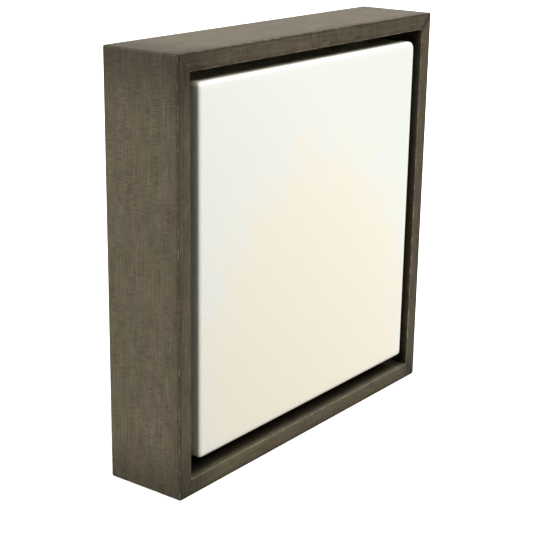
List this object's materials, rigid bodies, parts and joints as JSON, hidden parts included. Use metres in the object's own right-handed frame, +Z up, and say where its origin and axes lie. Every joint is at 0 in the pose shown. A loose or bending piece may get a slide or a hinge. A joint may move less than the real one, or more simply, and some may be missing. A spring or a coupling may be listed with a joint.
{
  "type": "floating frame",
  "caption": "Square floating frame in stained wood around a deep stretched canvas, with an open shadow gap and D-ring hangers behind.",
  "frame": {"origin": "centre of the bottom rail's underside, halfway through the moulding's depth", "axes": "+X to the right as seen from the front, front face towards -Y, back towards the wall at +Y, +Z up"},
  "size_m": [0.235, 0.0534, 0.235],
  "materials": {
    "stained_wood": "dark grey-brown stain, matt, with fine grain and worn pale arrises",
    "primed_canvas": "matt off-white primer over a fine plain weave",
    "bare_pine": "planed, unfinished",
    "beech": "sawn, unfinished",
    "zinc_steel": "bright zinc plate",
    "nail_steel": "dull rolled strip",
    "staple_wire": "galvanised wire",
    "bumper_rubber": "matt black"
  },
  "bodies": {
    "frame": {"bottom_rail": "stained_wood", "left_stile": "stained_wood", "top_rail": "stained_wood", "right_stile": "stained_wood", "stretcher_bar_bottom": "bare_pine", "canvas_screw_bottom": "zinc_steel", "staple_bottom_1": "staple_wire", "staple_bottom_2": "staple_wire", "staple_bottom_3": "staple_wire", "stretcher_bar_left": "bare_pine", "canvas_screw_left": "zinc_steel", "staple_left_1": "staple_wire", "staple_left_2": "staple_wire", "staple_left_3": "staple_wire", "stretcher_bar_top": "bare_pine", "canvas_screw_top": "zinc_steel", "staple_top_1": "staple_wire", "staple_top_2": "staple_wire", "staple_top_3": "staple_wire", "stretcher_bar_right": "bare_pine", "canvas_screw_right": "zinc_steel", "staple_right_1": "staple_wire", "staple_right_2": "staple_wire", "staple_right_3": "staple_wire", "v_nail_bottom_left_outer": "nail_steel", "v_nail_bottom_left_inner": "nail_steel", "corner_wedge_bottom_left_1": "beech", "corner_wedge_bottom_left_2": "beech", "v_nail_top_left_outer": "nail_steel", "v_nail_top_left_inner": "nail_steel", "corner_wedge_top_left_1": "beech", "corner_wedge_top_left_2": "beech", "v_nail_top_right_outer": "nail_steel", "v_nail_top_right_inner": "nail_steel", "corner_wedge_top_right_1": "beech", "corner_wedge_top_right_2": "beech", "v_nail_bottom_right_outer": "nail_steel", "v_nail_bottom_right_inner": "nail_steel", "corner_wedge_bottom_right_1": "beech", "corner_wedge_bottom_right_2": "beech", "canvas": "primed_canvas", "hanger_strap_left": "zinc_steel", "hanger_screw_left": "zinc_steel", "bumper_left": "bumper_rubber", "hanger_strap_right": "zinc_steel", "hanger_screw_right": "zinc_steel", "bumper_right": "bumper_rubber"},
    "ring_left": {"d_ring_left": "zinc_steel"},
    "ring_right": {"d_ring_right": "zinc_steel"}
  },
  "joints": [
    {"name": "ring_left_swing", "type": "hinge", "parent": "frame", "child": "ring_left", "pos_m": [-0.1035, 0.0268, 0.175], "axis": [1, 0, 0], "range_deg": [0, 174]},
    {"name": "ring_right_swing", "type": "hinge", "parent": "frame", "child": "ring_right", "pos_m": [0.1035, 0.0268, 0.175], "axis": [1, 0, 0], "range_deg": [0, 174]}
  ]
}
